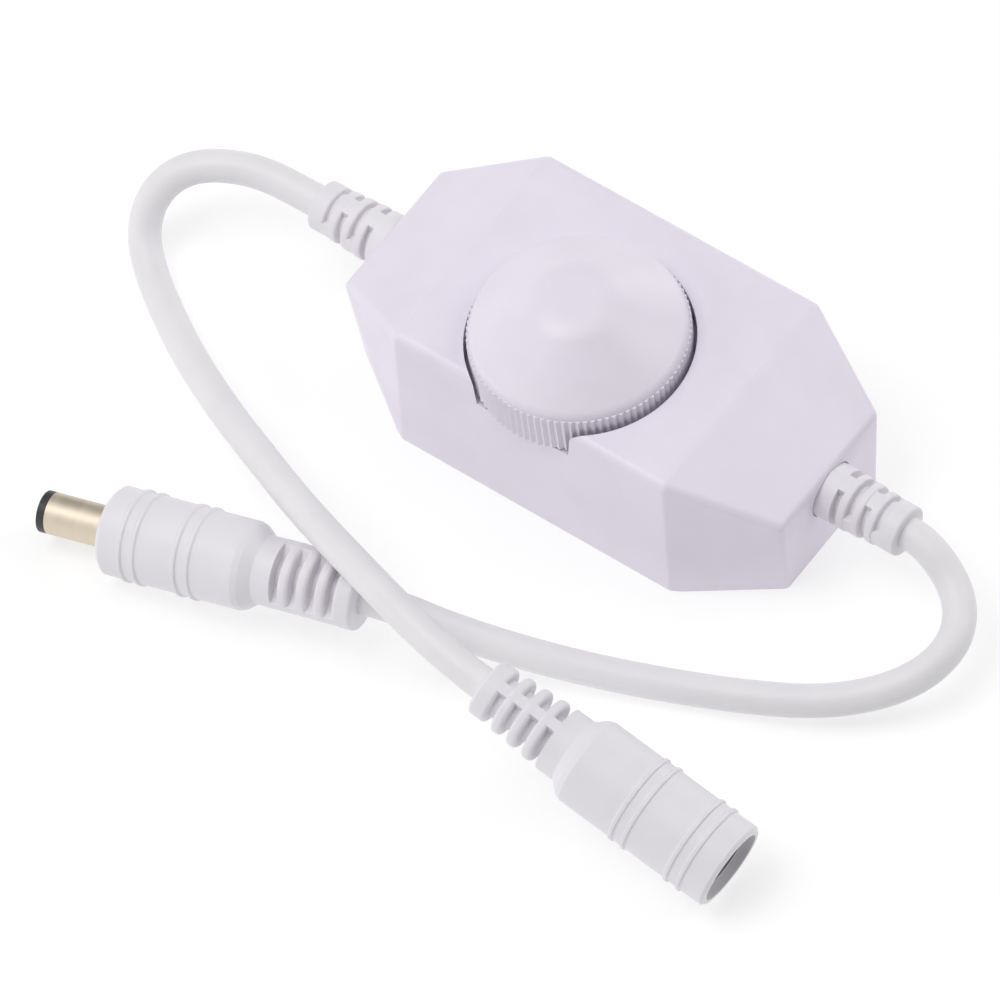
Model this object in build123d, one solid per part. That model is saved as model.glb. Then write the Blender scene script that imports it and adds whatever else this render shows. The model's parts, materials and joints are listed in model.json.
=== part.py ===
from build123d import *
import math
import os

# In-line rotary dimmer for low-voltage LED strips, in millimetres.
# X runs along the housing, Z is up and the origin is the middle of the base.
# The power socket's cord leaves the -X end and the output plug's cord the +X end.

# Faceted housing
TOP_LENGTH = 42.0
TOP_WIDTH = 33.9
HEIGHT = 21.9
END_LENGTH = 69.0
END_WIDTH = 20.8
END_HEIGHT = 15.4
BASE_LENGTH = 67.2
BASE_WIDTH = 36.6
BASE_SIDE_LENGTH = 42.6
BASE_END_WIDTH = 19.4
EDGE_ROUND = 1.2
WALL = 1.8

# Bottom plate, its screws and the bosses that take them
PLATE_THICKNESS = 2.0
PLATE_GAP = 0.15
SCREW_X = 26.2
SCREW_Y = 8.6
SCREW_RADIUS = 1.2
SCREW_LENGTH = 9.0
SCREW_HEAD_RADIUS = 2.3
SCREW_HEAD_HEIGHT = 1.2
SCREW_GAP = 0.05
CROSS_WIDTH = 0.6
CROSS_LENGTH = 2.6
CROSS_DEPTH = 0.7
BOSS_RADIUS = 2.7

# Knob and the well it turns in, which breaks out through the front wall
KNOB_X = -1.0
KNOB_Y = -4.1
KNOB_RIBS = 96
RIB_DEPTH = 0.35
RIB_LEDGE = 0.8
KNOB_EDGE = 24.7
KNOB_EDGE_ROUND = 1.3
KNOB_TOP_RADIUS = 4.8
KNOB_TOP_ROUND = 6.0
KNOB_HEIGHT = 31.0
KNOB_WALL = 1.6
HUB_RADIUS = 4.6
WELL_RADIUS = 14.9
KNOB_GAP = 0.5
WELL_FLOOR = 17.4
WELL_WALL = 1.5
KNOB_FLOAT = 0.4
HUB_LIFT = 0.5

# Potentiometer under the knob
SHAFT_RADIUS = 3.0
SHAFT_FLAT = 1.5
SHAFT_COVER = 3.6
FLAT_LIFT = 2.6
HUB_GAP = 0.02
BUSHING_RADIUS = 3.6
BUSHING_RECESS = 0.4
BUSHING_GAP = 0.05
BUSHING_HOLE_GAP = 0.15
CAN_RADIUS = 8.2
CAN_TOP = 13.0
CAN_SHEET = 0.5
WAFER_THICKNESS = 1.6
ROTOR_RADIUS = 6.4
ROTOR_THICKNESS = 1.4
ROTOR_GAP = 0.3
WIPER_RADIUS = 5.6
WIPER_SHEET = 0.25
PIN_PITCH = 5.0
PIN_WIDTH = 1.0
PIN_SHEET = 0.4
PIN_BELOW = 1.0
PIN_OUT = 6.6

# Circuit board and what is soldered to it
BOARD_GAP = 1.5
BOARD_WIDTH = 24.0
BOARD_THICKNESS = 1.6
BOARD_UNDERSIDE = 4.4
POST_X = 18.5
POST_Y = 9.0
POST_RADIUS = 2.0
POST_PIN_RADIUS = 1.0
POST_PIN_GAP = 0.1
SOLDER_GAP = 0.05
MOSFET_AT = (11.0, 4.0)
MOSFET_SIZE = (6.6, 6.1, 2.3)
CHIP_AT = (11.5, -4.0)
CHIP_SIZE = (4.9, 3.9, 1.5)
CHIP_LEGS = 4
CHIP_LEG_PITCH = 1.27
CAPACITOR_AT = (-14.0, 6.0)
CAPACITOR_RADIUS = 3.15
CAPACITOR_HEIGHT = 7.7
DIODE_AT = (11.5, -9.4)
DIODE_SIZE = (4.3, 2.6, 2.1)
RESISTORS_AT = ((6.0, 9.5), (9.0, 9.5), (12.0, 9.5))
RESISTOR_SIZE = (2.0, 1.25, 0.6)
CERAMICS_AT = ((-13.0, -4.0), (-13.0, -7.5))
CERAMIC_SIZE = (2.0, 1.25, 1.0)

# Cords, their slotted boots and the wires inside the housing
CORD_RADIUS = 2.2
CORD_HEIGHT = 11.1
WIRE_RADIUS = 0.65
WIRE_SPACING = 2.4
WIRE_PAD_X = 19.5
WIRE_BEND = 2.0
BOOT_CORE_RADIUS = 2.75
GROMMET_RADIUS = 3.85
GROMMET_END_RADIUS = 3.45
GROMMET_COLLAR = 2.4
GROMMET_SLOT = 0.9
GROMMET_PITCH = 2.1
GROMMET_FLANGE = 2.4
GROMMET_SPINE = 2.5
GROMMET_ROUND = 0.3
GROMMET_GAP = 0.15
COLLAR_INSIDE_RADIUS = 4.9
COLLAR_INSIDE = 1.5
SLOTS = 4
SPINE_DROP = 0.02

# Barrel plug and socket, both moulded onto the cord with a slotted boot
MOULD_RING = 0.25
RING_WIDTH = 0.8
RING_SPACING = 1.9
SHOULDER_LENGTH = 2.2
NECK_RADIUS = 4.5
NECK_LENGTH = 2.65
BOOT_SLOT = 1.05
BOOT_PITCH = 2.55
BOOT_FLANGE = 2.6
BOOT_ROUND = 0.55
PLUG_RADIUS = 5.85
PLUG_FRONT_BEVEL = 0.7
PLUG_LENGTH = 19.55
PLUG_RINGS = (3.3, 11.05)
PLUG_BOOT_RADIUS = 4.55
PLUG_BOOT_END_RADIUS = 4.5
PLUG_BOOT_DROOP = 3.5
PLUG_SPINE = 4.4
PLUG_SPINE_TURN = -59.0
SOCKET_RADIUS = 6.0
SOCKET_FRONT_BEVEL = 0.4
SOCKET_LENGTH = 22.5
SOCKET_RINGS = (3.4, 12.1)
SOCKET_BOOT_RADIUS = 4.4
SOCKET_BOOT_END_RADIUS = 3.9
SOCKET_BOOT_DROOP = 0.0
SOCKET_SPINE = 1.5
SOCKET_SPINE_TURN = -6.0
BARREL_RADIUS = 2.75
BARREL_BORE = 1.05
BARREL_REACH = 9.8
BARREL_ROOT = 6.5
ROOT_STEP = 0.25
BARREL_SHEET = 0.4
TIP_LENGTH = 1.1
CONTACT_SHEET = 0.25
MOUTH_WALL = 1.0
MOUTH_DEPTH = 1.3
INSERT_STEP = 0.4
INSERT_LENGTH = 12.0
JACK_GAP = 0.2
JACK_DEPTH = 9.6
PIN_GAP = 0.05
PIN_ROOT_RADIUS = 1.4
PIN_RECESS = 0.8
LEAF_SHEET = 0.3
LEAF_WIDTH = 2.4

# Where the plug's and the socket's front rims rest on the floor, which way each cord
# leaves in plan, how far the back is lifted, and the straight lead of cord behind it
PLUG_AT = (-41.3, -52.3)
PLUG_TURN = 12.5
PLUG_LIFT = 6.0
PLUG_LEAD = 5.0
SOCKET_AT = (54.2, -50.05)
SOCKET_TURN = 178.8
SOCKET_LIFT = 13.0
SOCKET_LEAD = 9.5

# Free stretches of the two cords, chosen point by point
OUTPUT_ROUTE = [
    (48.9, 0.0, 11.1),
    (55.2, -2.7, 10.9),
    (58.4, -5.5, 9.6),
    (59.3, -8.9, 7.5),
    (57.6, -13.6, 5.2),
    (53.5, -18.3, 3.4),
    (47.1, -23.1, 2.4),
    (38.6, -27.4, 2.2),
    (29.2, -31.4, 2.2),
    (19.6, -35.4, 3.1),
    (10.7, -39.3, 5.5),
    (3.4, -42.3, 8.2),
]
INPUT_ROUTE = [
    (-49.6, 0.0, 11.1),
    (-55.6, -0.3, 11.2),
    (-60.9, -1.9, 10.9),
    (-65.2, -4.2, 9.7),
    (-67.5, -6.7, 8.0),
    (-68.0, -9.4, 6.0),
    (-66.9, -12.5, 4.1),
    (-63.8, -15.9, 2.7),
    (-57.7, -20.1, 2.2),
    (-49.3, -25.2, 3.4),
    (-39.3, -31.0, 8.0),
    (-28.6, -37.2, 15.3),
    (-17.0, -43.3, 20.9),
    (-4.8, -46.6, 20.9),
]

# Sizes that follow from those above
KNOB_BOTTOM = WELL_FLOOR + KNOB_FLOAT
KNOB_RADIUS = WELL_RADIUS - KNOB_GAP
RIB_TOP = KNOB_EDGE - RIB_LEDGE
ROOT_RADIUS = KNOB_RADIUS - RIB_DEPTH
SHAFT_TOP = KNOB_HEIGHT - SHAFT_COVER
FLAT_BOTTOM = KNOB_BOTTOM + FLAT_LIFT
BUSHING_TOP = WELL_FLOOR - BUSHING_RECESS
BOARD_LENGTH = 2 * (SCREW_X - BOSS_RADIUS - BOARD_GAP)
BOARD_TOP = BOARD_UNDERSIDE + BOARD_THICKNESS
WAFER_TOP = BOARD_TOP + WAFER_THICKNESS
GROMMET_LENGTH = SLOTS * GROMMET_PITCH + GROMMET_FLANGE - (GROMMET_PITCH - GROMMET_SLOT)
END_DRAFT = (END_LENGTH - BASE_LENGTH) / 2
WALL_AT_CORD = BASE_LENGTH / 2 + END_DRAFT * CORD_HEIGHT / END_HEIGHT
CORD_EXIT = WALL_AT_CORD + GROMMET_COLLAR + GROMMET_LENGTH
GROMMET_INNER_FACE = WALL_AT_CORD - WALL - GROMMET_GAP - COLLAR_INSIDE
BARREL_ROOT_RADIUS = BARREL_RADIUS - ROOT_STEP
LINING_RADIUS = BARREL_ROOT_RADIUS - BARREL_SHEET
MOUTH_RADIUS = SOCKET_RADIUS - MOUTH_WALL
INSERT_RADIUS = MOUTH_RADIUS - INSERT_STEP
JACK_RADIUS = BARREL_RADIUS + JACK_GAP
PIN_RADIUS = BARREL_BORE - PIN_GAP
ON_FLOOR = (Align.CENTER, Align.CENTER, Align.MIN)


def standing(radius, bottom, top, x=0.0, y=0.0):
    """An upright cylinder between two heights."""
    return Pos(x, y, bottom) * Cylinder(radius, top - bottom, align=ON_FLOOR)


def along_x(radius, start, end):
    """A cylinder on the X axis between two distances."""
    return Pos(start, 0, 0) * Rot(0, 90, 0) * Cylinder(radius, end - start, align=ON_FLOOR)


def block(size, at, bottom):
    """A box standing on a height."""
    return Pos(at[0], at[1], bottom) * Box(*size, align=ON_FLOOR)


def four_ways(x, y):
    """The same point in all four quarters of the plan."""
    return [(sx * x, sy * y) for sx in (-1, 1) for sy in (-1, 1)]


def housing_form(inset, foot):
    """The faceted body with every face moved in by inset, standing on the height foot."""
    slope = math.atan2(HEIGHT - END_HEIGHT, (END_LENGTH - TOP_LENGTH) / 2)
    run = (BASE_LENGTH - BASE_SIDE_LENGTH) / 2
    rise = (BASE_WIDTH - BASE_END_WIDTH) / 2
    normal_x = rise / math.hypot(run, rise)
    normal_y = run / math.hypot(run, rise)
    narrowing = inset * (1 - normal_x) / normal_y
    top = (TOP_LENGTH / 2 - inset * math.tan(slope / 2), TOP_WIDTH / 2 - inset, HEIGHT - inset)
    end = (
        END_LENGTH / 2 - inset,
        END_WIDTH / 2 - narrowing,
        END_HEIGHT - inset * (1 - math.sin(slope)) / math.cos(slope),
    )
    side = (BASE_SIDE_LENGTH / 2 - inset * (1 - normal_y) / normal_x, BASE_WIDTH / 2 - inset, foot)
    base = (BASE_LENGTH / 2 - inset, BASE_END_WIDTH / 2 - narrowing, foot)

    def at(point, sx, sy):
        return (sx * point[0], sy * point[1], point[2])

    def facet(*points):
        return Face(Wire.make_polygon(points))

    ring = [(1, 1), (-1, 1), (-1, -1), (1, -1)]
    faces = [facet(*[at(top, *q) for q in ring])]
    outline = []
    for sx, sy in ring:
        pair = [at(base, sx, sy), at(side, sx, sy)]
        outline += pair if sx * sy > 0 else pair[::-1]
        faces.append(facet(at(top, sx, sy), at(side, sx, sy), at(end, sx, sy)))
        faces.append(facet(at(side, sx, sy), at(base, sx, sy), at(end, sx, sy)))
    faces.append(facet(*outline))
    for s in (-1, 1):
        faces.append(facet(at(top, -1, s), at(top, 1, s), at(side, 1, s), at(side, -1, s)))
        faces.append(facet(at(top, s, -1), at(top, s, 1), at(end, s, 1), at(end, s, -1)))
        faces.append(facet(at(end, s, -1), at(end, s, 1), at(base, s, 1), at(base, s, -1)))
    return Solid(Shell(faces))


def top_cover():
    """One moulded shell with the knob's well, the screw bosses and the cord holes."""
    rounded = offset(housing_form(EDGE_ROUND, -EDGE_ROUND), EDGE_ROUND, kind=Kind.ARC)
    form = split(rounded, bisect_by=Plane.XY, keep=Keep.TOP)
    shell = form - housing_form(WALL, -WALL)
    well = standing(WELL_RADIUS + WELL_WALL, WELL_FLOOR - WELL_WALL, HEIGHT, KNOB_X, KNOB_Y)
    shell += well & form
    for x, y in four_ways(SCREW_X, SCREW_Y):
        shell += standing(BOSS_RADIUS, PLATE_THICKNESS, HEIGHT, x, y) & form
    shell -= standing(WELL_RADIUS, WELL_FLOOR, KNOB_HEIGHT, KNOB_X, KNOB_Y)
    hole = BUSHING_RADIUS + BUSHING_HOLE_GAP
    shell -= standing(hole, CAN_TOP, HEIGHT, KNOB_X, KNOB_Y)
    for x, y in four_ways(SCREW_X, SCREW_Y):
        shell -= standing(SCREW_RADIUS + SCREW_GAP, 0, SCREW_LENGTH + 1, x, y)
    cord_hole = Cylinder(GROMMET_RADIUS + GROMMET_GAP, END_LENGTH + 2 * WALL)
    shell -= Pos(0, 0, CORD_HEIGHT) * Rot(0, 90, 0) * cord_hole
    return shell


def screw_head(radius_gap):
    """The countersunk head, as a solid or, with a gap, as the seat for it."""
    tip = SCREW_RADIUS + radius_gap
    return Cone(SCREW_HEAD_RADIUS + radius_gap, tip, SCREW_HEAD_HEIGHT, align=ON_FLOOR)


def bottom_cover():
    """The base plate, set in flush, with four posts that carry the circuit board."""
    slab = block((BASE_LENGTH, BASE_WIDTH, PLATE_THICKNESS), (0, 0), 0)
    plate = housing_form(WALL + PLATE_GAP, -WALL) & slab
    for x, y in four_ways(SCREW_X, SCREW_Y):
        plate -= standing(SCREW_RADIUS + SCREW_GAP, 0, PLATE_THICKNESS, x, y)
        plate -= Pos(x, y, 0) * screw_head(SCREW_GAP)
    for x, y in four_ways(POST_X, POST_Y):
        plate += standing(POST_RADIUS, PLATE_THICKNESS, BOARD_UNDERSIDE, x, y)
        plate += standing(POST_PIN_RADIUS, PLATE_THICKNESS, BOARD_TOP, x, y)
    return plate


def cover_screws():
    """Four countersunk screws with a cross recess, driven from below."""
    screw = standing(SCREW_RADIUS, 0, SCREW_LENGTH) + screw_head(0)
    for turn in (0, 90):
        screw -= Rot(0, 0, turn) * Box(CROSS_LENGTH, CROSS_WIDTH, CROSS_DEPTH, align=ON_FLOOR)
    return Compound([Pos(x, y, 0) * screw for x, y in four_ways(SCREW_X, SCREW_Y)])


def knurled_rim():
    """The rim's prism, with one pointed rib for each finger groove."""
    points = []
    for i in range(KNOB_RIBS):
        for step, radius in ((0.0, ROOT_RADIUS), (0.5, KNOB_RADIUS)):
            angle = 2 * math.pi * (i + step) / KNOB_RIBS
            points.append((radius * math.cos(angle), radius * math.sin(angle)))
    rim = extrude(make_face(Polyline(*points, close=True)), RIB_TOP - KNOB_BOTTOM)
    return Pos(0, 0, KNOB_BOTTOM) * rim


def d_section(radius, flat, bottom, top):
    """A shaft with one flat along its side."""
    beyond = block((radius, 2 * radius, top - bottom), (flat + radius / 2, 0), bottom)
    return standing(radius, bottom, top) - beyond


def knob():
    """A flat-topped cone over a knurled rim, hollow below, with a hub on the shaft."""
    slope_run = ROOT_RADIUS - KNOB_TOP_RADIUS
    slope_rise = KNOB_HEIGHT - KNOB_EDGE
    outer = Polyline(
        (0, KNOB_BOTTOM),
        (ROOT_RADIUS, KNOB_BOTTOM),
        (ROOT_RADIUS, KNOB_EDGE),
        (KNOB_TOP_RADIUS, KNOB_HEIGHT),
        (0, KNOB_HEIGHT),
        close=True,
    )
    section = make_face(outer)
    rounds = ((KNOB_TOP_RADIUS, KNOB_HEIGHT, KNOB_TOP_ROUND), (ROOT_RADIUS, KNOB_EDGE, KNOB_EDGE_ROUND))
    for r, z, round_radius in rounds:
        corner = section.vertices().sort_by_distance((r, z, 0))[0]
        section = fillet(corner, round_radius)
    body = revolve(Plane.XZ * section, Axis.Z) + knurled_rim()
    drop = KNOB_WALL * math.hypot(slope_run, slope_rise) / slope_run
    inside_radius = ROOT_RADIUS - KNOB_WALL
    inside = Polyline(
        (0, KNOB_BOTTOM),
        (inside_radius, KNOB_BOTTOM),
        (inside_radius, KNOB_EDGE + KNOB_WALL * slope_rise / slope_run - drop),
        (KNOB_TOP_RADIUS, KNOB_HEIGHT - drop),
        (0, KNOB_HEIGHT - drop),
        close=True,
    )
    hollow = revolve(Plane.XZ * make_face(inside), Axis.Z)
    body -= hollow - standing(HUB_RADIUS, KNOB_BOTTOM + HUB_LIFT, KNOB_HEIGHT)
    bore_radius = SHAFT_RADIUS + HUB_GAP
    bore = d_section(bore_radius, SHAFT_FLAT + HUB_GAP, FLAT_BOTTOM, SHAFT_TOP + HUB_GAP)
    body -= bore + standing(bore_radius, KNOB_BOTTOM, FLAT_BOTTOM)
    return Pos(KNOB_X, KNOB_Y, 0) * body


def pot_shaft():
    """The turned shaft with the rotor disc at its foot and the flat that drives it."""
    rotor_bottom = WAFER_TOP + ROTOR_GAP + WIPER_SHEET
    shaft = standing(SHAFT_RADIUS, rotor_bottom, FLAT_BOTTOM)
    shaft += d_section(SHAFT_RADIUS, SHAFT_FLAT, FLAT_BOTTOM, SHAFT_TOP)
    shaft += standing(ROTOR_RADIUS, rotor_bottom, rotor_bottom + ROTOR_THICKNESS)
    return Pos(KNOB_X, KNOB_Y, 0) * shaft


def pot_wiper():
    """The sprung contact under the rotor, a slit ring that sweeps the track."""
    bottom = WAFER_TOP + ROTOR_GAP
    top = bottom + WIPER_SHEET
    ring = standing(WIPER_RADIUS, bottom, top) - standing(WIPER_RADIUS - 2 * PIN_WIDTH, bottom, top)
    slit = block((WIPER_RADIUS, PIN_WIDTH, WIPER_SHEET), (WIPER_RADIUS / 2, 0), bottom)
    return Pos(KNOB_X, KNOB_Y, 0) * (ring - slit)


def pot_can():
    """The drawn metal can with the threaded bushing that guides the shaft."""
    roof = CAN_TOP - CAN_SHEET
    can = standing(CAN_RADIUS, WAFER_TOP, CAN_TOP) - standing(CAN_RADIUS - CAN_SHEET, WAFER_TOP, roof)
    can += standing(BUSHING_RADIUS, roof, BUSHING_TOP)
    can -= standing(SHAFT_RADIUS + BUSHING_GAP, WAFER_TOP, BUSHING_TOP)
    return Pos(KNOB_X, KNOB_Y, 0) * can


def pin_places():
    """Plan positions of the three solder pins, beside the wafer's back edge."""
    return [(KNOB_X + i * PIN_PITCH, KNOB_Y + PIN_OUT) for i in (-1, 0, 1)]


def pot_wafer():
    """The phenolic disc that carries the resistance track."""
    wafer = standing(CAN_RADIUS, BOARD_TOP, WAFER_TOP, KNOB_X, KNOB_Y)
    for x, y in pin_places():
        wafer -= block((PIN_WIDTH, PIN_SHEET, WAFER_THICKNESS), (x, y), BOARD_TOP)
    return wafer


def pot_pins():
    """Three flat pins from the wafer down through the board."""
    bottom = BOARD_UNDERSIDE - PIN_BELOW
    size = (PIN_WIDTH, PIN_SHEET, WAFER_TOP - bottom)
    return Compound([block(size, at, bottom) for at in pin_places()])


def circuit_board():
    """The glass-fibre board, pierced for the posts, the pins and the wires."""
    board = block((BOARD_LENGTH, BOARD_WIDTH, BOARD_THICKNESS), (0, 0), BOARD_UNDERSIDE)
    for x, y in four_ways(POST_X, POST_Y):
        board -= standing(POST_PIN_RADIUS + POST_PIN_GAP, BOARD_UNDERSIDE, BOARD_TOP, x, y)
    slot = (PIN_WIDTH + 2 * SOLDER_GAP, PIN_SHEET + 2 * SOLDER_GAP, BOARD_THICKNESS)
    for at in pin_places():
        board -= block(slot, at, BOARD_UNDERSIDE)
    return board


def mosfet():
    """The switching transistor: a moulded block on its metal tab, with two legs."""
    length, width, height = MOSFET_SIZE
    x, y = MOSFET_AT
    body = block((length, width, height), MOSFET_AT, BOARD_TOP)
    body += block((length / 5, width * 0.85, height / 4), (x - length * 0.6, y), BOARD_TOP)
    for lane in (-1, 1):
        at = (x + length * 0.7, y + lane * width / 3)
        body += block((length / 2, width / 8, height / 4), at, BOARD_TOP)
    return body


def timer_chip():
    """The pulse-width chip with a row of legs on each long side."""
    length, width, height = CHIP_SIZE
    x, y = CHIP_AT
    chip = block(CHIP_SIZE, CHIP_AT, BOARD_TOP)
    for i in range(CHIP_LEGS):
        leg_x = x + (i - (CHIP_LEGS - 1) / 2) * CHIP_LEG_PITCH
        chip += block((CHIP_LEG_PITCH / 3, width * 1.5, height / 4), (leg_x, y), BOARD_TOP)
    return chip


def input_capacitor():
    """The electrolytic can on its base, with a rolled groove."""
    x, y = CAPACITOR_AT
    can = standing(CAPACITOR_RADIUS, BOARD_TOP, BOARD_TOP + CAPACITOR_HEIGHT, x, y)
    groove_bottom = BOARD_TOP + CAPACITOR_HEIGHT / 6
    groove_top = groove_bottom + CAPACITOR_HEIGHT / 12
    groove = standing(CAPACITOR_RADIUS, groove_bottom, groove_top, x, y)
    return can - (groove - standing(CAPACITOR_RADIUS * 0.93, groove_bottom, groove_top, x, y))


def chips(size, places):
    """Small surface-mounted blocks of one kind."""
    return Compound([block(size, at, BOARD_TOP) for at in places])


def boot(radius, end_radius, slot, pitch, flange, spine, edge, bend, turn, crossed):
    """A slotted boot along +X from the origin, bent up or down by its own droop.

    Each slot is bridged by two spines, upright where turn is nought. Where crossed,
    every other slot has its spines a quarter turn on.
    Returns the solid and the plane of its free end.
    """
    rib = pitch - slot
    length = SLOTS * pitch + flange - rib
    bend_angle = math.radians(bend)

    def station(s):
        angle = bend_angle * s / length
        if abs(bend_angle) < 1e-6:
            place = (s, 0, 0)
        else:
            curve = length / bend_angle
            place = (curve * math.sin(angle), 0, curve * (1 - math.cos(angle)))
        return Plane(place, x_dir=(0, 1, 0), z_dir=(math.cos(angle), 0, math.sin(angle)))

    last = station(length - flange / 2)
    if abs(bend_angle) < 1e-6:
        path = Line((0, 0, 0), last.origin)
    else:
        path = TangentArc((0, 0, 0), last.origin, tangent=(1, 0, 0))
    solid = sweep(Plane.YZ * Circle(BOOT_CORE_RADIUS), path=path)
    for i in range(SLOTS):
        here = radius + (end_radius - radius) * i / (SLOTS - 1)
        thick = flange if i == SLOTS - 1 else rib
        disc = Cylinder(here, thick)
        disc = fillet(disc.edges().filter_by(GeomType.CIRCLE), edge)
        solid += station(i * pitch + slot + thick / 2).location * disc
        bridge = Cylinder(here - SPINE_DROP, slot + rib) & Box(spine, 2 * radius, slot + rib)
        quarter = 90 if crossed and i % 2 == 1 else 0
        solid += station(i * pitch + slot / 2).location * Rot(0, 0, turn + quarter) * bridge
    return solid, last.offset(flange / 2)


def grommet(side):
    """The boot where a cord leaves an end wall, held inside by its collar."""
    ribs = (GROMMET_RADIUS, GROMMET_END_RADIUS, GROMMET_SLOT, GROMMET_PITCH, GROMMET_FLANGE)
    body, _ = boot(*ribs, GROMMET_SPINE, GROMMET_ROUND, 0, 0, True)
    start = WALL_AT_CORD + GROMMET_COLLAR
    whole = Pos(start, 0, CORD_HEIGHT) * body
    whole += Pos(0, 0, CORD_HEIGHT) * along_x(GROMMET_RADIUS, GROMMET_INNER_FACE, start)
    collar = Pos(0, 0, CORD_HEIGHT) * along_x(COLLAR_INSIDE_RADIUS, GROMMET_INNER_FACE, WALL_AT_CORD)
    whole += collar & housing_form(WALL + GROMMET_GAP, -WALL)
    return whole if side > 0 else Rot(0, 0, 180) * whole


def inner_wire(side, lane):
    """One insulated core from a grommet's inner face down to its pad on the board."""
    start = side * GROMMET_INNER_FACE
    y = lane * WIRE_SPACING / 2
    pad = side * WIRE_PAD_X
    corners = ((start, y, CORD_HEIGHT), (pad, y, CORD_HEIGHT), (pad, y, BOARD_TOP))
    path = FilletPolyline(*corners, radius=WIRE_BEND)
    profile = Plane(corners[0], z_dir=(-side, 0, 0)) * Circle(WIRE_RADIUS)
    return sweep(profile, path=path)


def mould(radius, bevel, length, rings, sleeve):
    """The moulded grip along -X from its boot: two pairs of rings, a shoulder and a neck."""
    neck_start = -NECK_LENGTH
    shoulder = neck_start - SHOULDER_LENGTH
    mouth = shoulder - length
    points = [(mouth, 0), (mouth, radius - bevel), (mouth + bevel, radius)]
    for pair in rings:
        for start in (pair, pair + RING_SPACING):
            x = mouth + start
            points += [
                (x, radius),
                (x + RING_WIDTH / 4, radius + MOULD_RING),
                (x + RING_WIDTH * 3 / 4, radius + MOULD_RING),
                (x + RING_WIDTH, radius),
            ]
    points += [
        (shoulder, radius),
        (shoulder + SHOULDER_LENGTH * 0.35, radius - (radius - NECK_RADIUS) * 0.2),
        (neck_start, NECK_RADIUS),
        (0, NECK_RADIUS),
        (0, 0),
    ]
    grip = revolve(Plane.XZ * make_face(Polyline(*points, close=True)), Axis.X)
    return grip + sleeve, mouth


def lie(mouth, at, turn, lift, radius, bevel):
    """The move that rests a connector's front rim on the floor with its back lifted."""
    angle = math.radians(lift)
    height = radius * math.cos(angle) - bevel * math.sin(angle)
    return Pos(at[0], at[1], height) * Rot(0, 0, turn) * Rot(0, -lift, 0) * Pos(-mouth, 0, 0)


def plug_pieces():
    """The output plug: grip, barrel, tip insulator and inner contact, on their own axis."""
    ribs = (PLUG_BOOT_RADIUS, PLUG_BOOT_END_RADIUS, BOOT_SLOT, BOOT_PITCH, BOOT_FLANGE)
    sleeve, tail = boot(*ribs, PLUG_SPINE, BOOT_ROUND, -PLUG_BOOT_DROOP, PLUG_SPINE_TURN, False)
    grip, mouth = mould(PLUG_RADIUS, PLUG_FRONT_BEVEL, PLUG_LENGTH, PLUG_RINGS, sleeve)
    root = mouth + BARREL_ROOT
    front = mouth - BARREL_REACH
    rim = front + TIP_LENGTH
    grip -= along_x(BARREL_ROOT_RADIUS, mouth, root)
    barrel = along_x(BARREL_RADIUS, rim, mouth) + along_x(BARREL_ROOT_RADIUS, mouth, root)
    barrel -= along_x(LINING_RADIUS, rim, root)
    insulator = along_x(BARREL_RADIUS, front, rim) + along_x(LINING_RADIUS, rim, root)
    contact_end = mouth + BARREL_ROOT / 2
    insulator -= along_x(BARREL_BORE + CONTACT_SHEET, rim, contact_end)
    insulator -= along_x(BARREL_BORE, front, rim)
    contact = along_x(BARREL_BORE + CONTACT_SHEET, rim, contact_end) - along_x(BARREL_BORE, rim, contact_end)
    pieces = {
        "plug_overmold": grip,
        "plug_barrel": barrel,
        "plug_tip_insulator": insulator,
        "plug_inner_contact": contact,
    }
    return pieces, tail, mouth


def socket_pieces():
    """The power socket: grip with its deep mouth, insert, centre pin and spring leaf."""
    ribs = (SOCKET_BOOT_RADIUS, SOCKET_BOOT_END_RADIUS, BOOT_SLOT, BOOT_PITCH, BOOT_FLANGE)
    sleeve, tail = boot(*ribs, SOCKET_SPINE, BOOT_ROUND, -SOCKET_BOOT_DROOP, SOCKET_SPINE_TURN, False)
    grip, mouth = mould(SOCKET_RADIUS, SOCKET_FRONT_BEVEL, SOCKET_LENGTH, SOCKET_RINGS, sleeve)
    face = mouth + MOUTH_DEPTH
    back = face + INSERT_LENGTH
    grip -= along_x(MOUTH_RADIUS, mouth, face)
    grip -= along_x(INSERT_RADIUS, face, back)
    jack_end = face + JACK_DEPTH
    insert = along_x(INSERT_RADIUS, face, back) - along_x(JACK_RADIUS, face, jack_end)
    insert -= along_x(PIN_ROOT_RADIUS, jack_end, back)
    pin = along_x(PIN_RADIUS, face + PIN_RECESS, jack_end)
    pin = fillet(pin.edges().filter_by(GeomType.CIRCLE).sort_by(Axis.X)[0], PIN_RADIUS * 0.6)
    pin += along_x(PIN_ROOT_RADIUS, jack_end, back)
    leaf_size = (JACK_DEPTH - PIN_RECESS, LEAF_WIDTH, LEAF_SHEET)
    leaf_x = face + PIN_RECESS + leaf_size[0] / 2
    leaf = Pos(leaf_x, 0, JACK_RADIUS) * Box(*leaf_size, align=ON_FLOOR)
    insert -= leaf
    pieces = {
        "socket_overmold": grip,
        "socket_insert": insert,
        "socket_pin": pin,
        "socket_spring_leaf": leaf,
    }
    return pieces, tail, mouth


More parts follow.
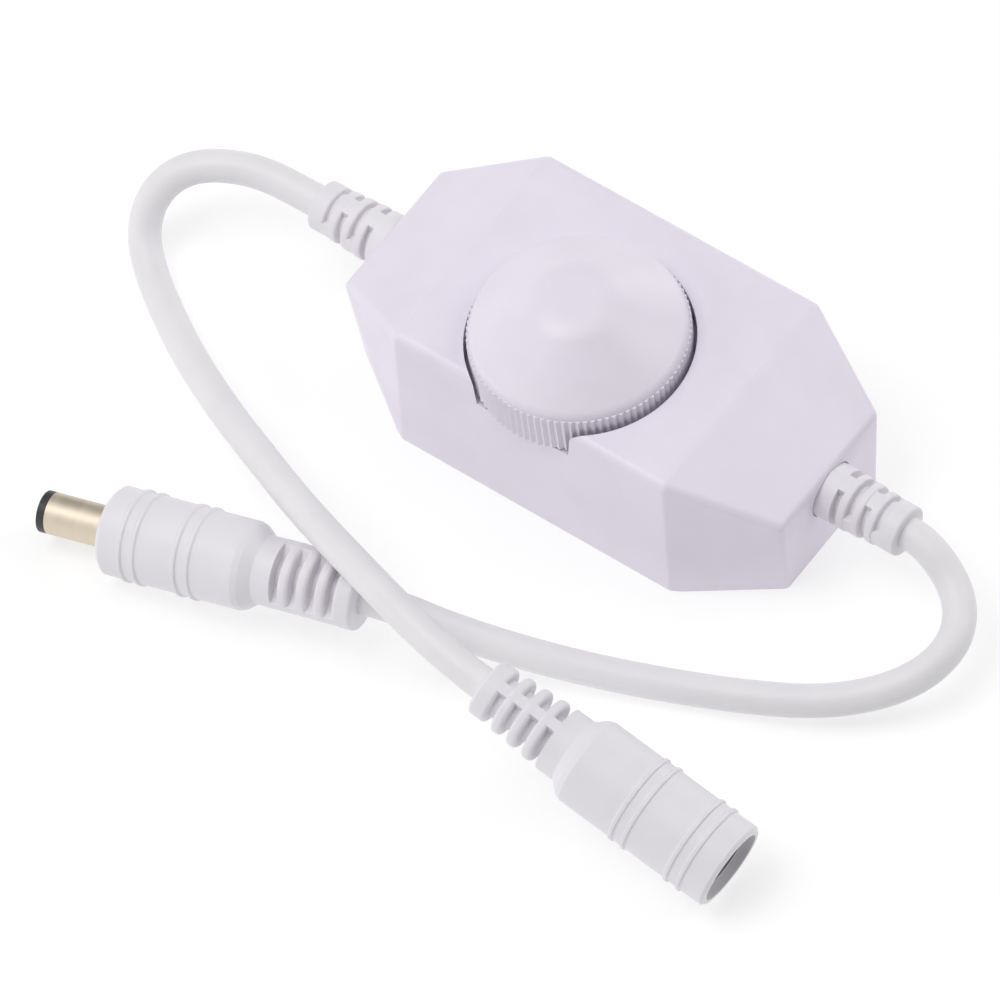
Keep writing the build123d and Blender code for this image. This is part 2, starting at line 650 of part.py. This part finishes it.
def cord(name, route):
    """A round cord along straight runs joined by the widest arcs they leave room for."""
    points = [Vector(*p) for p in route]
    radii = []
    for before, corner, after in zip(points, points[1:], points[2:]):
        turn = math.radians((corner - before).get_angle(after - corner))
        shorter = min((corner - before).length, (after - corner).length)
        radii.append(0.45 * shorter / math.tan(turn / 2))
    path = FilletPolyline(*points, radius=radii)
    profile = Plane(points[0], z_dir=points[1] - points[0]) * Circle(CORD_RADIUS)
    tube = sweep(profile, path=path)
    share = tube.volume / (math.pi * CORD_RADIUS**2 * path.length)
    print(name, "radii", [round(r, 1) for r in radii])
    print(name, "length", round(path.length, 1), "volume share", round(share, 4))
    return tube


def free_end(place, tail):
    """Where a placed boot ends and which way its cord leaves."""
    end = place * Pos(*tail.origin)
    ahead = place * Pos(*(tail.origin + tail.z_dir))
    return end.position, ahead.position - end.position


parts = {
    "top_cover": top_cover(),
    "bottom_cover": bottom_cover(),
    "cover_screws": cover_screws(),
    "knob": knob(),
    "pot_shaft": pot_shaft(),
    "pot_wiper": pot_wiper(),
    "pot_can": pot_can(),
    "pot_wafer": pot_wafer(),
    "pot_pins": pot_pins(),
    "circuit_board": circuit_board(),
    "mosfet": mosfet(),
    "timer_chip": timer_chip(),
    "input_capacitor": input_capacitor(),
    "flyback_diode": block(DIODE_SIZE, DIODE_AT, BOARD_TOP),
    "chip_resistors": chips(RESISTOR_SIZE, RESISTORS_AT),
    "ceramic_capacitors": chips(CERAMIC_SIZE, CERAMICS_AT),
}
for side, end_name in ((-1, "input"), (1, "output")):
    parts[end_name + "_strain_relief"] = grommet(side)
    for lane, sign in ((1, "positive"), (-1, "negative")):
        parts[end_name + "_wire_" + sign] = inner_wire(side, lane)

plug, plug_tail, plug_mouth = plug_pieces()
plug_place = lie(plug_mouth, PLUG_AT, PLUG_TURN, PLUG_LIFT, PLUG_RADIUS, PLUG_FRONT_BEVEL)
plug_end, plug_out = free_end(plug_place, plug_tail)
socket, socket_tail, socket_mouth = socket_pieces()
socket_place = lie(socket_mouth, SOCKET_AT, SOCKET_TURN, SOCKET_LIFT, SOCKET_RADIUS, SOCKET_FRONT_BEVEL)
socket_end, socket_out = free_end(socket_place, socket_tail)
for name, piece in plug.items():
    parts[name] = plug_place * piece
for name, piece in socket.items():
    parts[name] = socket_place * piece

output_points = [(CORD_EXIT, 0, CORD_HEIGHT)] + OUTPUT_ROUTE
output_points += [plug_end + plug_out * PLUG_LEAD, plug_end]
input_points = [(-CORD_EXIT, 0, CORD_HEIGHT)] + INPUT_ROUTE
input_points += [socket_end + socket_out * SOCKET_LEAD, socket_end]
parts["output_cord"] = cord("output_cord", output_points)
parts["input_cord"] = cord("input_cord", input_points)

os.makedirs("parts", exist_ok=True)
for name, piece in parts.items():
    export_step(piece, "parts/" + name + ".step")
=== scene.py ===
import json
import math

import bpy
from mathutils import Matrix, Vector


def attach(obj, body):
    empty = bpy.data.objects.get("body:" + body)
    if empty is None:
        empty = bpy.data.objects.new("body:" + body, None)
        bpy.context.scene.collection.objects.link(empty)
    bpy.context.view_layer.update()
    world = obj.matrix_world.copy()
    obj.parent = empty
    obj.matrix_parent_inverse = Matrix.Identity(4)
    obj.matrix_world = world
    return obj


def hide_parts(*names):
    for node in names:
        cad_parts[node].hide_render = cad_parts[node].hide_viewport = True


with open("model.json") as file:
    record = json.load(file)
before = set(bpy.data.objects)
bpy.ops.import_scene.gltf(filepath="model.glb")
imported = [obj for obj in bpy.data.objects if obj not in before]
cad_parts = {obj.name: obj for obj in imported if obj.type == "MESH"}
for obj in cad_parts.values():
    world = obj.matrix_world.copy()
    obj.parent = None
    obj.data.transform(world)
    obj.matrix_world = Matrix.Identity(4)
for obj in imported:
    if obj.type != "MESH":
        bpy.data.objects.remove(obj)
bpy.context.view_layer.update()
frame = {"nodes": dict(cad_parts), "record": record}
nodes = frame["nodes"]

# Camera fitted to the photograph: a long lens looking down on the housing's right front corner
CAMERA_AT = (0.58337, -0.63143, 1.27681)
CAMERA_RIGHT = (0.80267, 0.59006, -0.08689)
CAMERA_DOWN = (0.45658, -0.70165, -0.54701)
CAMERA_AHEAD = (-0.38373, 0.39940, -0.83260)
CAMERA_LENS = 432.0
CAMERA_SENSOR = 36.0
CAMERA_REACH = 20.0

# Cords, in metres: the routes of the part's source, with the crossing let down onto the plug's boot
# and the bends of the loops eased along the line of sight
CORD_DIAMETER = 0.0044
CORD_STEPS = 24
CORD_ROUNDNESS = 10
SPLINE_ORDER = 3
OUTPUT_ROUTE = [
    (0.046249, 0.0, 0.0111),
    (0.0489, 0.0, 0.0111),
    (0.054, -0.0015, 0.0088),
    (0.0575, -0.0045, 0.0076),
    (0.0593, -0.0091, 0.0075),
    (0.0585, -0.0146, 0.0072),
    (0.0544, -0.0193, 0.0054),
    (0.0476, -0.0236, 0.0034),
    (0.0386, -0.0274, 0.0022),
    (0.0292, -0.0314, 0.0022),
    (0.0196, -0.0354, 0.0031),
    (0.0107, -0.0393, 0.0055),
    (0.0034, -0.0423, 0.0082),
    (-0.001734, -0.043528, 0.00939),
    (-0.006609, -0.044609, 0.009137),
]
INPUT_ROUTE = [
    (-0.046249, 0.0, 0.0111),
    (-0.0496, 0.0, 0.0111),
    (-0.0556, -0.0003, 0.0112),
    (-0.0605, -0.0019, 0.0111),
    (-0.0643, -0.0043, 0.0107),
    (-0.0667, -0.0073, 0.0092),
    (-0.0674, -0.0105, 0.0067),
    (-0.0662, -0.0135, 0.0042),
    (-0.0633, -0.0162, 0.0025),
    (-0.0585, -0.0196, 0.0022),
    (-0.0509, -0.0243, 0.0027),
    (-0.0413, -0.0294, 0.005),
    (-0.0304, -0.0349, 0.0096),
    (-0.0184, -0.0407, 0.0142),
    (-0.0049, -0.0454, 0.0167),
    (0.009729, -0.049118, 0.016026),
    (0.016549, -0.049261, 0.014451),
]

# Texture: noise scales are per metre, bump depths in metres
NOISE_LOW = 0.3
NOISE_HIGH = 0.7
SMOOTH_DETAIL = 2.0
FINE_DETAIL = 3.0
MOTTLE_SCALE = 140.0
GLOSS_SCALE = 560.0
GRAIN_STRENGTH = 0.5
RING_SCALE = 1.0
RING_STRENGTH = 0.15
RING_DEPTH = 0.00002
NO_TURN = (0.0, 0.0, 0.0)
PLUG_TURN = (0.0, math.radians(-6.0), math.radians(12.5))

# Studio: the floor lies a hair under the base plate, so that the two faces don't coincide
WHITE = (1.0, 1.0, 1.0, 1.0)
FLOOR_HALF = 3.0
FLOOR_DROP = 0.00005
FLOOR_MOTTLE = 8.0
FLOOR_GREYS = ((0.40, 0.40, 0.40), (0.42, 0.42, 0.42))
FLOOR_ROUGHNESS = 0.9
FLOOR_GLOW = 0.626
SKY_GLOW = 0.242
LAMP_TARGET = (0.0, -0.02, 0.01)

# Each soft box: name, place, side and power in watts
SOFT_BOXES = [
    ("overhead", (-0.05, 0.05, 1.1), 0.9, 3.54),
    ("back_right", (0.62, 0.6, 0.75), 0.6, 2.72),
    ("back_low", (0.0, 1.09, 0.31), 0.6, 2.15),
    ("left_low", (-1.11, -0.02, 0.31), 0.6, 1.13),
    ("front_left_low", (-0.785, -0.805, 0.31), 0.6, 2.32),
    ("front_left_high", (-0.345, -0.365, 1.05), 0.6, 3.75),
    ("front_low", (0.0, -1.13, 0.31), 0.6, 1.0),
]


def material(name):
    """A new node material with its shader, ready for links."""
    made = bpy.data.materials.new(name)
    made.use_nodes = True
    tree = made.node_tree
    shader = tree.nodes["Principled BSDF"]
    return made, tree, shader


def noise(tree, scale, detail=SMOOTH_DETAIL, stretch=None, turn=NO_TURN):
    """A noise texture in the row frame, turned and then squeezed along each axis where asked."""
    where = tree.nodes.new("ShaderNodeTexCoord")
    source = where.outputs["Object"]
    if stretch:
        mapping = tree.nodes.new("ShaderNodeMapping")
        mapping.vector_type = "TEXTURE"
        mapping.inputs["Rotation"].default_value = turn
        mapping.inputs["Scale"].default_value = [1.0 / times for times in stretch]
        tree.links.new(source, mapping.inputs["Vector"])
        source = mapping.outputs["Vector"]
    texture = tree.nodes.new("ShaderNodeTexNoise")
    texture.inputs["Scale"].default_value = scale
    texture.inputs["Detail"].default_value = detail
    tree.links.new(source, texture.inputs["Vector"])
    return texture.outputs["Fac"]


def ramp(tree, value, low, high):
    """A two-colour ramp driven by a noise value."""
    node = tree.nodes.new("ShaderNodeValToRGB")
    first, last = node.color_ramp.elements
    first.position = NOISE_LOW
    first.color = (*low, 1.0)
    last.position = NOISE_HIGH
    last.color = (*high, 1.0)
    tree.links.new(value, node.inputs["Fac"])
    return node.outputs["Color"]


def spread(tree, value, low, high):
    """A noise value mapped to a range."""
    node = tree.nodes.new("ShaderNodeMapRange")
    node.inputs["From Min"].default_value = NOISE_LOW
    node.inputs["From Max"].default_value = NOISE_HIGH
    node.inputs["To Min"].default_value = low
    node.inputs["To Max"].default_value = high
    tree.links.new(value, node.inputs["Value"])
    return node.outputs["Result"]


def bump(tree, shader, height, strength, distance):
    """A bump from a height onto the shader."""
    node = tree.nodes.new("ShaderNodeBump")
    node.inputs["Strength"].default_value = strength
    node.inputs["Distance"].default_value = distance
    tree.links.new(height, node.inputs["Height"])
    tree.links.new(node.outputs["Normal"], shader.inputs["Normal"])


finishes = {}


def moulded(name, low, high, gloss, grain, depth):
    """A moulded finish: slight mottling, uneven gloss and a fine spark-eroded grain."""
    made, tree, shader = material(name)
    cloud = noise(tree, MOTTLE_SCALE)
    tree.links.new(ramp(tree, cloud, low, high), shader.inputs["Base Color"])
    sheen = noise(tree, GLOSS_SCALE)
    tree.links.new(spread(tree, sheen, *gloss), shader.inputs["Roughness"])
    bump(tree, shader, noise(tree, grain, FINE_DETAIL), GRAIN_STRENGTH, depth)
    finishes[name] = made


def plated(name, low, high, gloss, squeeze, turn=NO_TURN):
    """Plated or bare metal with fine lines, close together along the axis that is squeezed most."""
    made, tree, shader = material(name)
    shade = noise(tree, RING_SCALE, FINE_DETAIL, squeeze, turn)
    tree.links.new(ramp(tree, shade, low, high), shader.inputs["Base Color"])
    tree.links.new(spread(tree, shade, *gloss), shader.inputs["Roughness"])
    bump(tree, shader, shade, RING_STRENGTH, RING_DEPTH)
    shader.inputs["Metallic"].default_value = 1.0
    finishes[name] = made


# White mouldings: shell, knob, boots with their grips, and cords
moulded(
    "housing_white",
    low=(0.78, 0.732, 0.838),
    high=(0.806, 0.76, 0.864),
    gloss=(0.36, 0.44),
    grain=5200,
    depth=0.00003,
)
moulded(
    "knob_white",
    low=(0.77, 0.722, 0.818),
    high=(0.795, 0.75, 0.844),
    gloss=(0.34, 0.42),
    grain=5200,
    depth=0.00003,
)
moulded(
    "mould_white",
    low=(0.77, 0.745, 0.79),
    high=(0.80, 0.775, 0.815),
    gloss=(0.42, 0.52),
    grain=4200,
    depth=0.00004,
)
moulded(
    "cord_white",
    low=(0.775, 0.755, 0.785),
    high=(0.805, 0.79, 0.81),
    gloss=(0.40, 0.50),
    grain=4200,
    depth=0.00003,
)

# Plug and socket: nickel with rings around the plug's own axis, and black insulation
plated(
    "nickel",
    low=(0.73, 0.645, 0.525),
    high=(0.78, 0.695, 0.57),
    gloss=(0.48, 0.56),
    squeeze=(900.0, 60.0, 60.0),
    turn=PLUG_TURN,
)
moulded(
    "insulator_black",
    low=(0.026, 0.028, 0.028),
    high=(0.042, 0.045, 0.045),
    gloss=(0.38, 0.5),
    grain=3000,
    depth=0.00003,
)

# Screws, and pieces hidden in the housing, the plug and the socket
plated(
    "screw_steel",
    low=(0.48, 0.48, 0.49),
    high=(0.62, 0.62, 0.63),
    gloss=(0.25, 0.4),
    squeeze=(700.0, 700.0, 90.0),
)
moulded(
    "board_green",
    low=(0.02, 0.12, 0.05),
    high=(0.03, 0.16, 0.07),
    gloss=(0.3, 0.4),
    grain=2000,
    depth=0.00003,
)
plated(
    "contact_brass",
    low=(0.66, 0.46, 0.18),
    high=(0.78, 0.58, 0.28),
    gloss=(0.22, 0.36),
    squeeze=(500.0, 80.0, 80.0),
)
moulded(
    "chip_black",
    low=(0.014, 0.014, 0.015),
    high=(0.024, 0.024, 0.025),
    gloss=(0.5, 0.6),
    grain=3500,
    depth=0.00004,
)
plated(
    "can_aluminium",
    low=(0.62, 0.62, 0.63),
    high=(0.74, 0.74, 0.75),
    gloss=(0.25, 0.38),
    squeeze=(90.0, 90.0, 800.0),
)
moulded(
    "phenolic_brown",
    low=(0.16, 0.08, 0.035),
    high=(0.22, 0.11, 0.05),
    gloss=(0.45, 0.6),
    grain=2200,
    depth=0.00004,
)
moulded(
    "ceramic_tan",
    low=(0.40, 0.30, 0.19),
    high=(0.48, 0.37, 0.24),
    gloss=(0.5, 0.6),
    grain=3000,
    depth=0.00003,
)
moulded(
    "wire_red",
    low=(0.36, 0.012, 0.012),
    high=(0.44, 0.02, 0.018),
    gloss=(0.35, 0.45),
    grain=3000,
    depth=0.00003,
)
moulded(
    "wire_black",
    low=(0.012, 0.012, 0.012),
    high=(0.02, 0.02, 0.02),
    gloss=(0.35, 0.45),
    grain=3000,
    depth=0.00003,
)


def dress(piece, finish):
    """Gives a piece one finish all over."""
    piece.data.materials.clear()
    piece.data.materials.append(finishes[finish])


def lay_cord(name, route, node):
    """A round cord on one smooth line with the route's points as its control points."""
    data = bpy.data.curves.new(name, "CURVE")
    data.dimensions = "3D"
    data.resolution_u = CORD_STEPS
    data.bevel_depth = CORD_DIAMETER / 2
    data.bevel_resolution = CORD_ROUNDNESS
    data.use_fill_caps = True
    spline = data.splines.new("NURBS")
    spline.points.add(len(route) - 1)
    for point, place in zip(spline.points, route):
        point.co = (*place, 1.0)
    spline.order_u = SPLINE_ORDER
    spline.use_endpoint_u = True
    spline.use_smooth = True
    piece = bpy.data.objects.new(name, data)
    bpy.context.scene.collection.objects.link(piece)
    dress(piece, "cord_white")
    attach(piece, "housing")
    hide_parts(node)


def soft_box(name, at, side, power):
    """A square studio lamp turned to the object and out of the camera's sight."""
    lamp = bpy.data.lights.new(name, "AREA")
    lamp.size = side
    lamp.energy = power
    box = bpy.data.objects.new(name, lamp)
    bpy.context.scene.collection.objects.link(box)
    box.visible_camera = False
    box.location = at
    box.rotation_euler = (Vector(LAMP_TARGET) - Vector(at)).to_track_quat("-Z", "Y").to_euler()


def floor():
    """A pale floor that glows, as a white table lit from below does."""
    half = FLOOR_HALF
    corners = [(-half, -half, 0), (half, -half, 0), (half, half, 0), (-half, half, 0)]
    mesh = bpy.data.meshes.new("floor")
    mesh.from_pydata(corners, [], [(0, 1, 2, 3)])
    piece = bpy.data.objects.new("floor", mesh)
    bpy.context.scene.collection.objects.link(piece)
    piece.location.z = -FLOOR_DROP
    made, tree, shader = material("floor_white")
    tint = ramp(tree, noise(tree, FLOOR_MOTTLE), *FLOOR_GREYS)
    tree.links.new(tint, shader.inputs["Base Color"])
    shader.inputs["Roughness"].default_value = FLOOR_ROUGHNESS
    shader.inputs["Specular IOR Level"].default_value = 0.0
    shader.inputs["Emission Color"].default_value = WHITE
    shader.inputs["Emission Strength"].default_value = FLOOR_GLOW
    mesh.materials.append(made)


def sky():
    """An even white surround."""
    world = bpy.data.worlds.new("studio")
    world.use_nodes = True
    background = world.node_tree.nodes["Background"]
    background.inputs["Color"].default_value = WHITE
    background.inputs["Strength"].default_value = SKY_GLOW
    bpy.context.scene.world = world


def camera():
    """The photograph's view."""
    data = bpy.data.cameras.new("photo")
    data.lens = CAMERA_LENS
    data.sensor_width = CAMERA_SENSOR
    data.clip_end = CAMERA_REACH
    eye = bpy.data.objects.new("photo", data)
    bpy.context.scene.collection.objects.link(eye)
    right, down, ahead = Vector(CAMERA_RIGHT), Vector(CAMERA_DOWN), Vector(CAMERA_AHEAD)
    turn = Matrix((right, -down, -ahead)).transposed().to_4x4()
    eye.matrix_world = Matrix.Translation(CAMERA_AT) @ turn
    bpy.context.scene.camera = eye


for part in frame["record"]["subparts"]:
    dress(nodes[part["node"]], part["material_slot"])
lay_cord("output_lead", OUTPUT_ROUTE, "output_cord")
lay_cord("input_lead", INPUT_ROUTE, "input_cord")

floor()
sky()
for box in SOFT_BOXES:
    soft_box(*box)
bpy.context.scene.view_settings.view_transform = "Standard"
camera()
